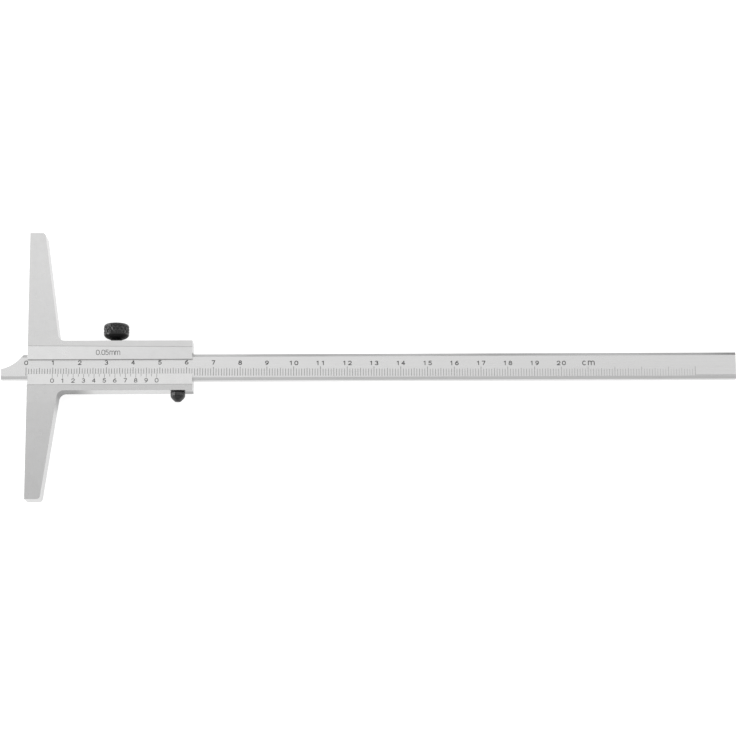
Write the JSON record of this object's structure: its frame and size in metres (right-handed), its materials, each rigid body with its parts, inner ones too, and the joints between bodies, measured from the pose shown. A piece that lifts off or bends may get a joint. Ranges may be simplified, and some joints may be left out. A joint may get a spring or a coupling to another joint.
{
  "type": "vernier depth gauge",
  "caption": "Steel vernier depth gauge: T-shaped foot and slider with a window, sliding graduated rule, knurled lock screw and small friction screw.",
  "frame": {"origin": "on the plane of the foot's measuring face, at the rule's centre line, on the frame's back face", "axes": "+X along the rule towards its far end, +Y along the foot's arm on the side of the lock knob, +Z out of the graduated face"},
  "size_m": [0.2747, 0.1013, 0.01],
  "materials": {
    "satin_steel": "satin chromed, finely ground steel",
    "rule_steel": "ground stainless steel, lengthwise grain",
    "plain_steel": "turned plain steel",
    "black_knob": "blackened, semi-gloss, knurled",
    "bronze": "drawn bronze, unpolished"
  },
  "bodies": {
    "slider": {"base_frame": "satin_steel", "vernier_plate": "satin_steel", "vernier_pin_1": "plain_steel", "vernier_pin_2": "plain_steel", "back_plate": "satin_steel", "back_screw_1": "plain_steel", "back_screw_2": "plain_steel", "back_screw_3": "plain_steel", "back_screw_4": "plain_steel", "gib_strip": "bronze", "gib_screw_1": "plain_steel", "gib_screw_2": "plain_steel"},
    "rule": {"beam": "rule_steel", "stop_pin": "plain_steel"},
    "lock_pad_body": {"lock_pad": "bronze"},
    "lock_screw": {"lock_knob": "black_knob", "lock_stud": "plain_steel"},
    "drag_pad_body": {"drag_pad": "bronze"},
    "drag_screw": {"drag_knob": "black_knob", "drag_stud": "plain_steel"}
  },
  "joints": [
    {"name": "rule_slide", "type": "slide", "parent": "slider", "child": "rule", "axis": [-1, 0, 0], "range_m": [-0.0099, 0.1901]},
    {"name": "lock_travel", "type": "slide", "parent": "slider", "child": "lock_pad_body", "axis": [0, -1, 0], "range_m": [-0.001, 0.00018]},
    {"name": "lock_turn", "type": "hinge", "parent": "lock_pad_body", "child": "lock_screw", "pos_m": [0.03285, 0.0136, 0.00525], "axis": [0, -1, 0], "range_deg": [-721, 131]},
    {"name": "drag_travel", "type": "slide", "parent": "slider", "child": "drag_pad_body", "axis": [0, 1, 0], "range_m": [-0.0008, 0.00002]},
    {"name": "drag_turn", "type": "hinge", "parent": "drag_pad_body", "child": "drag_screw", "pos_m": [0.05615, -0.0108, 0.00515], "axis": [0, 1, 0], "range_deg": [-721, 19]}
  ],
  "couplings": [
    {"joint": "lock_turn", "follows": "lock_travel", "rad_per_m": 12566},
    {"joint": "drag_turn", "follows": "drag_travel", "rad_per_m": 15708}
  ]
}
